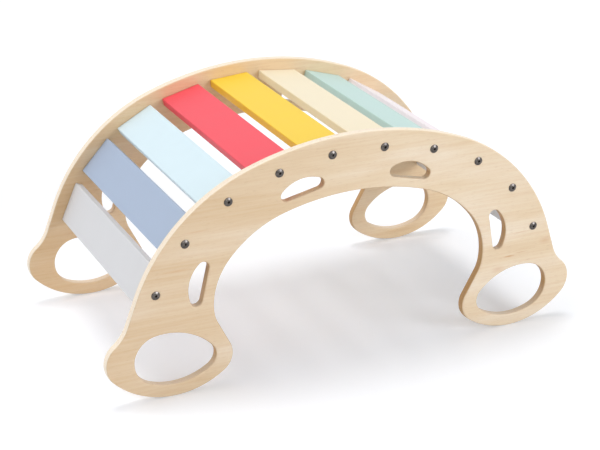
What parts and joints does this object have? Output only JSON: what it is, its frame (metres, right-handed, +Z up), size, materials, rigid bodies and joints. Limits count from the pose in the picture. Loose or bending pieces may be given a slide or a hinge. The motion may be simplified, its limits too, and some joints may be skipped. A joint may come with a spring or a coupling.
{
  "type": "rocker arch",
  "caption": "Arched climbing rocker: curved plywood side panels with looped rocker feet and hand slots, joined by a row of painted slats.",
  "frame": {"origin": "on the floor, midway between the feet and midway between the side panels", "axes": "+X along the arch to the right, seen from the front panel; +Y from the front panel to the rear panel; +Z up"},
  "size_m": [0.9, 0.4452, 0.421],
  "materials": {
    "birch_plywood": "clear satin lacquer",
    "white_paint": "satin paint on solid wood",
    "periwinkle_paint": "satin paint on solid wood",
    "ice_blue_paint": "satin paint on solid wood",
    "red_paint": "satin paint on solid wood",
    "yellow_paint": "satin paint on solid wood",
    "cream_paint": "satin paint on solid wood",
    "mint_paint": "satin paint on solid wood",
    "blush_paint": "satin paint on solid wood",
    "black_nickel_steel": "bright black nickel plating",
    "zinc_plated_steel": "zinc plating",
    "beech_dowel": "bare, fluted on the real piece"
  },
  "bodies": {
    "root": {"side_panel_front": "birch_plywood", "side_panel_rear": "birch_plywood", "slat_1": "white_paint", "slat_2": "periwinkle_paint", "slat_3": "ice_blue_paint", "slat_4": "red_paint", "slat_5": "yellow_paint", "slat_6": "cream_paint", "slat_7": "mint_paint", "slat_8": "blush_paint", "slat_9": "periwinkle_paint", "slat_10": "white_paint", "bolts_1": "black_nickel_steel", "bolts_2": "black_nickel_steel", "bolts_3": "black_nickel_steel", "bolts_4": "black_nickel_steel", "bolts_5": "black_nickel_steel", "bolts_6": "black_nickel_steel", "bolts_7": "black_nickel_steel", "bolts_8": "black_nickel_steel", "bolts_9": "black_nickel_steel", "bolts_10": "black_nickel_steel", "barrel_nuts_1": "zinc_plated_steel", "barrel_nuts_2": "zinc_plated_steel", "barrel_nuts_3": "zinc_plated_steel", "barrel_nuts_4": "zinc_plated_steel", "barrel_nuts_5": "zinc_plated_steel", "barrel_nuts_6": "zinc_plated_steel", "barrel_nuts_7": "zinc_plated_steel", "barrel_nuts_8": "zinc_plated_steel", "barrel_nuts_9": "zinc_plated_steel", "barrel_nuts_10": "zinc_plated_steel", "dowels_1": "beech_dowel", "dowels_2": "beech_dowel", "dowels_3": "beech_dowel", "dowels_4": "beech_dowel", "dowels_5": "beech_dowel", "dowels_6": "beech_dowel", "dowels_7": "beech_dowel", "dowels_8": "beech_dowel", "dowels_9": "beech_dowel", "dowels_10": "beech_dowel"}
  },
  "joints": []
}
